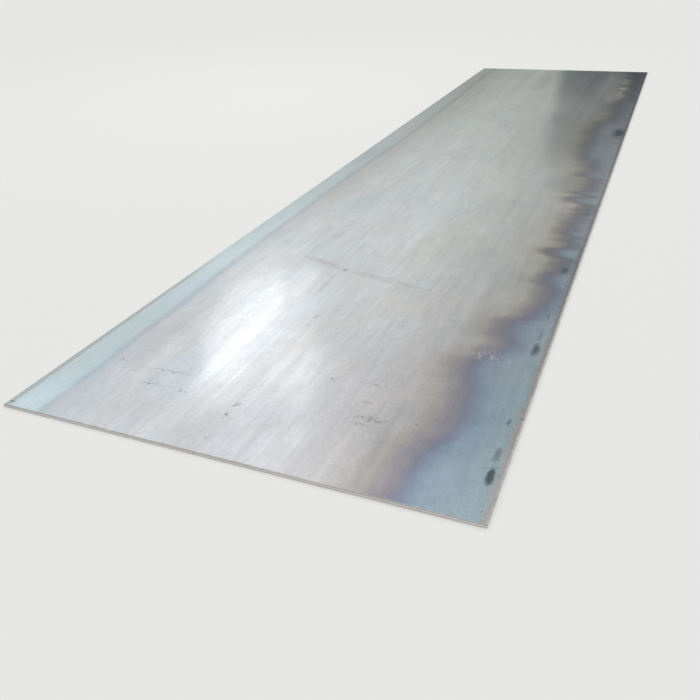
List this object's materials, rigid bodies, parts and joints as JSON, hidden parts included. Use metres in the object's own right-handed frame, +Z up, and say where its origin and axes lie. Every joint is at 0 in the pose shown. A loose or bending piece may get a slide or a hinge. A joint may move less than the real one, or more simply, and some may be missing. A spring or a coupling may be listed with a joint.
{
  "type": "steel plate",
  "caption": "Flat rectangular hot-rolled steel plate with rounded mill edges, sheared ends and blue-grey mill scale, lying flat as raw stock.",
  "frame": {"origin": "under the middle of the plate, on its lower face", "axes": "+X across the plate's width, +Y along its length from the leading sheared end to the trailing one, +Z up through its gauge"},
  "size_m": [1.5, 6, 0.008],
  "materials": {
    "mill_scale_steel": "hot-rolled mild steel with its mill scale: blue-grey bands along both long edges, a grey middle with lengthwise roll streaks"
  },
  "bodies": {
    "root": {"steel_plate": "mill_scale_steel"}
  },
  "joints": []
}
